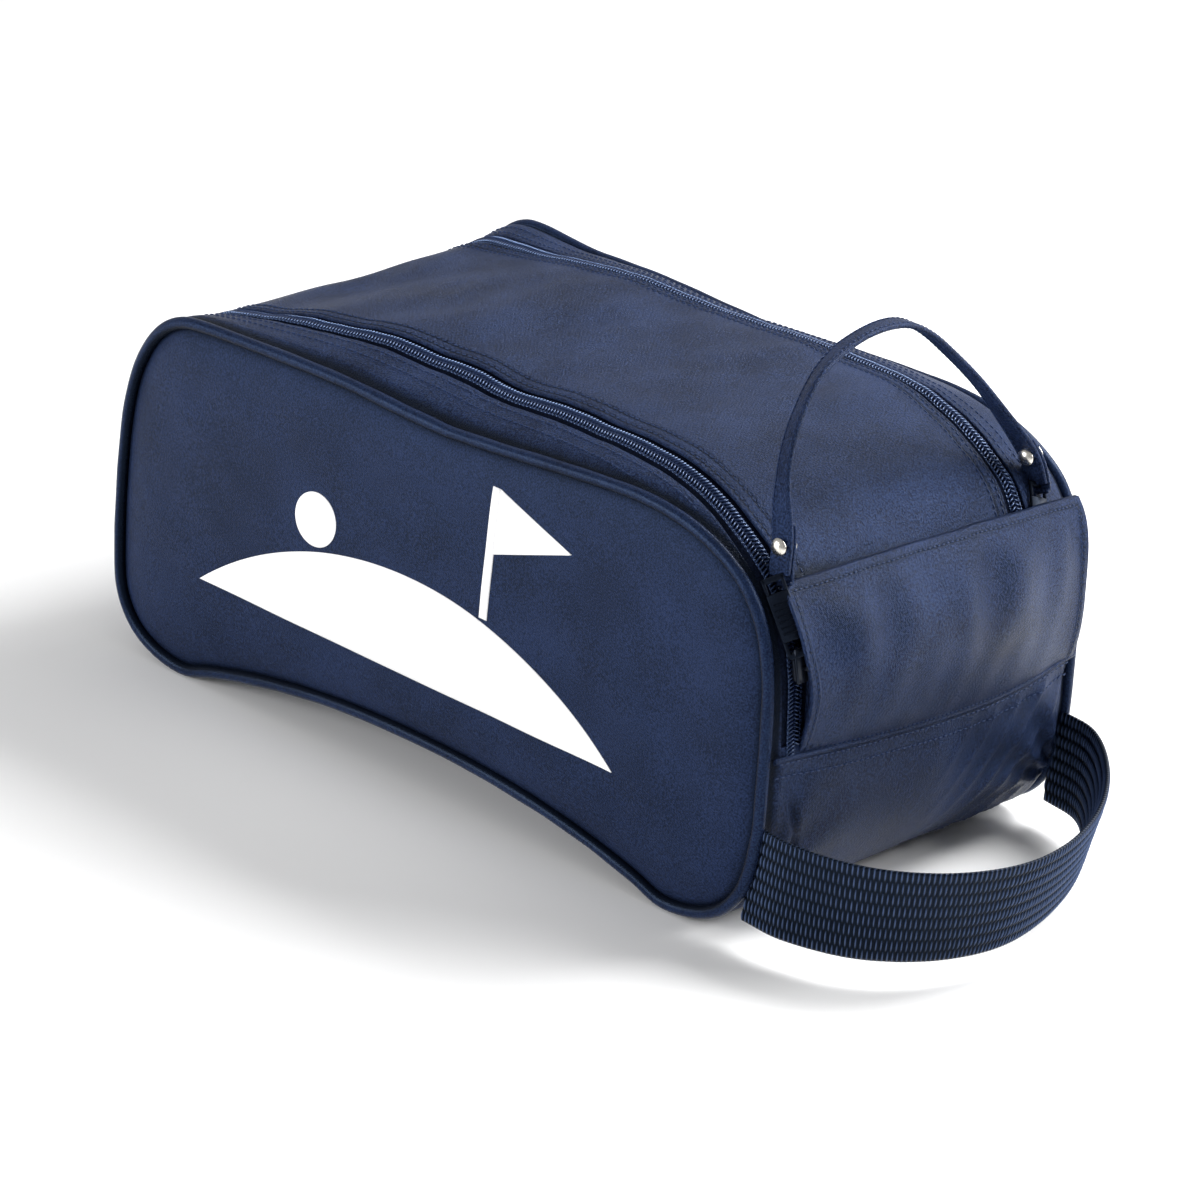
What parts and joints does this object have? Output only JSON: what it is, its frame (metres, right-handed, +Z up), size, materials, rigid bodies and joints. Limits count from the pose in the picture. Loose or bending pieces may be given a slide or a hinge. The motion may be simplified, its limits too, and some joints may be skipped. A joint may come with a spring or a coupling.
{
  "type": "golf shoe bag",
  "caption": "Soft rounded box bag for golf shoes: lid held by twin parallel zips, strap joining the pullers, end flap over the closures and webbing grab handle at one end.",
  "frame": {"origin": "centre of the bag's footprint on the floor, with the grab handle included", "axes": "+X along the bag towards the end flap and grab handle, +Y from the printed front panel to the back panel, +Z up"},
  "size_m": [0.4152, 0.185, 0.2207],
  "materials": {
    "wall_fabric": "satin woven polyester",
    "piping_fabric": "satin woven polyester",
    "binding_tape": "matte woven tape",
    "zip_tape": "matte woven tape",
    "zip_coil": "satin nylon coil",
    "slider_metal": "satin black paint",
    "tab_plastic": "moulded, satin",
    "rivet_nickel": "polished nickel plate",
    "webbing": "ribbed polypropylene webbing",
    "print_white": "matte transfer film"
  },
  "bodies": {
    "root": {"front_panel": "wall_fabric", "front_piping": "piping_fabric", "front_seam_binding": "binding_tape", "front_zip_strip": "wall_fabric", "front_outer_tape": "zip_tape", "front_outer_coil": "zip_coil", "front_zip_stop": "slider_metal", "back_panel": "wall_fabric", "back_piping": "piping_fabric", "back_seam_binding": "binding_tape", "back_zip_strip": "wall_fabric", "back_outer_tape": "zip_tape", "back_outer_coil": "zip_coil", "back_zip_stop": "slider_metal", "bottom_panel": "wall_fabric", "left_end_panel": "wall_fabric", "right_end_panel": "wall_fabric", "printed_green": "print_white", "printed_flag": "print_white", "printed_ball": "print_white"},
    "lid": {"lid_panel": "wall_fabric", "front_inner_tape": "zip_tape", "front_inner_coil": "zip_coil", "back_inner_tape": "zip_tape", "back_inner_coil": "zip_coil"},
    "sliders": {"front_slider": "slider_metal", "front_pull_tab": "tab_plastic", "back_slider": "slider_metal", "back_pull_tab": "tab_plastic"},
    "puller": {"puller_strap": "wall_fabric", "front_rivet": "rivet_nickel", "back_rivet": "rivet_nickel"},
    "flap": {"end_flap": "wall_fabric"},
    "handle": {"grab_handle": "webbing"}
  },
  "joints": [
    {"name": "lid_hinge", "type": "hinge", "parent": "root", "child": "lid", "pos_m": [-0.2075, 0, 0.08], "axis": [0, -1, 0], "range_deg": [0, 110]},
    {"name": "slider_travel", "type": "hinge", "parent": "lid", "child": "sliders", "pos_m": [0.0698, 0, 0.0973], "axis": [0, -1, 0], "range_deg": [0, 40]},
    {"name": "strap_swing", "type": "hinge", "parent": "sliders", "child": "puller", "pos_m": [0.11953, 0, 0.1413], "axis": [0, 1, 0], "range_deg": [-12, 80]},
    {"name": "flap_hinge", "type": "hinge", "parent": "root", "child": "flap", "pos_m": [0.1328, 0, 0.072], "axis": [0, 1, 0], "range_deg": [0, 90]},
    {"name": "handle_swing", "type": "hinge", "parent": "root", "child": "handle", "pos_m": [0.1355, 0, 0.029], "axis": [0, -1, 0], "range_deg": [-8, 10]}
  ]
}
